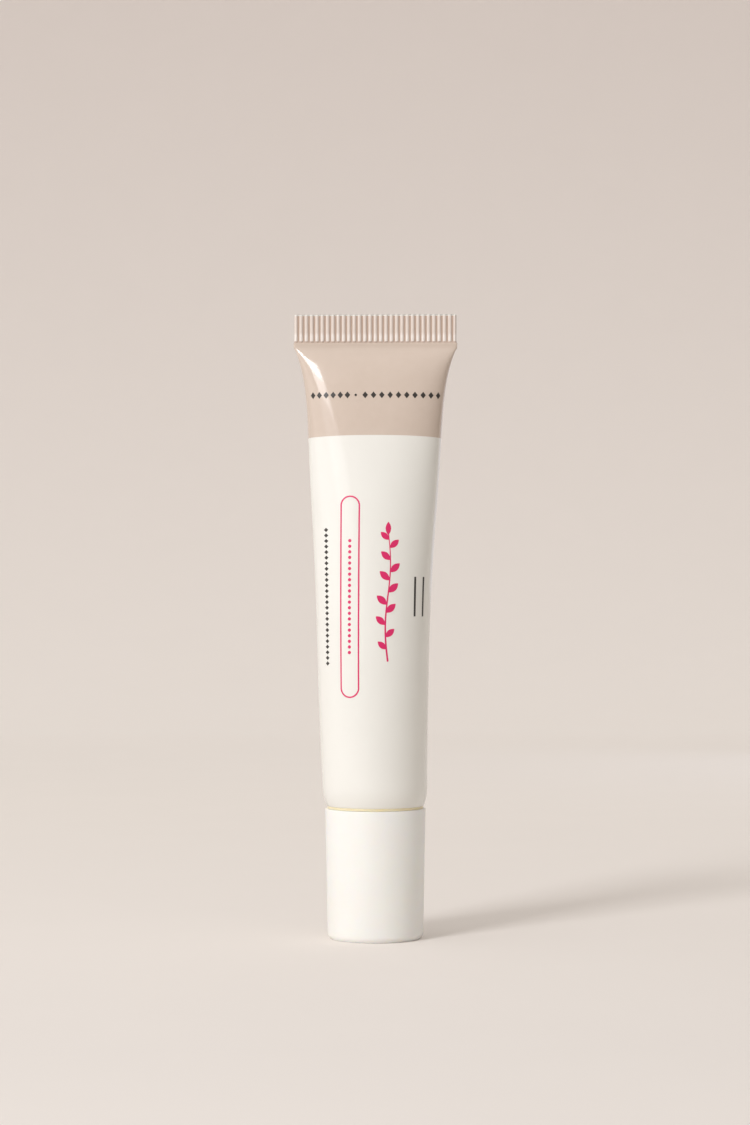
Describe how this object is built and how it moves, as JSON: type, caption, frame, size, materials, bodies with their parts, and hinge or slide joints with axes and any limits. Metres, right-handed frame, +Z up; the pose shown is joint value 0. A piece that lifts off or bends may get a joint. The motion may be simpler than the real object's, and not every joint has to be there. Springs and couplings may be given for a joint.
{
  "type": "cuticle oil rollerball",
  "caption": "Slim squeeze tube of cuticle oil, pressed flat and ribbed at the tail, standing on a screw cap that covers a steel roller ball in the neck.",
  "frame": {"origin": "middle of the cap's flat end, which the tube stands on", "axes": "+Z up along the tube's axis, from the cap to the flat tail; X along the flat tail's width; front face towards -Y"},
  "size_m": [0.0298, 0.019, 0.1132],
  "materials": {
    "cap_plastic": "satin",
    "insert_plastic": "satin",
    "pad_foam": "matte",
    "sleeve_plastic": "satin",
    "band_print": "satin",
    "pink_print": "satin",
    "dark_print": "satin",
    "head_plastic": "satin",
    "housing_plastic": "gloss",
    "ball_steel": "polished",
    "oil": "gloss"
  },
  "bodies": {
    "cap": {"cap_shell": "cap_plastic", "cap_insert": "insert_plastic"},
    "seal": {"cap_seal_pad": "pad_foam"},
    "tube": {"tube_sleeve": "sleeve_plastic", "tube_head": "head_plastic", "roller_housing": "housing_plastic", "oil_fill": "oil"},
    "ball": {"roller_ball": "ball_steel"}
  },
  "joints": [
    {"name": "tube_turn", "type": "hinge", "parent": "cap", "child": "seal", "pos_m": [0, 0, 0.0234], "axis": [0, 0, 1], "range_deg": [0, 2520]},
    {"name": "tube_lift", "type": "slide", "parent": "seal", "child": "tube", "axis": [0, 0, 1], "range_m": [0, 0.021]},
    {"name": "ball_roll", "type": "hinge", "parent": "tube", "child": "ball", "pos_m": [0, 0, 0.0082], "axis": [1, 0, 0], "continuous": true}
  ],
  "couplings": [
    {"joint": "tube_lift", "follows": "tube_turn", "m_per_rad": 0.00047746}
  ]
}
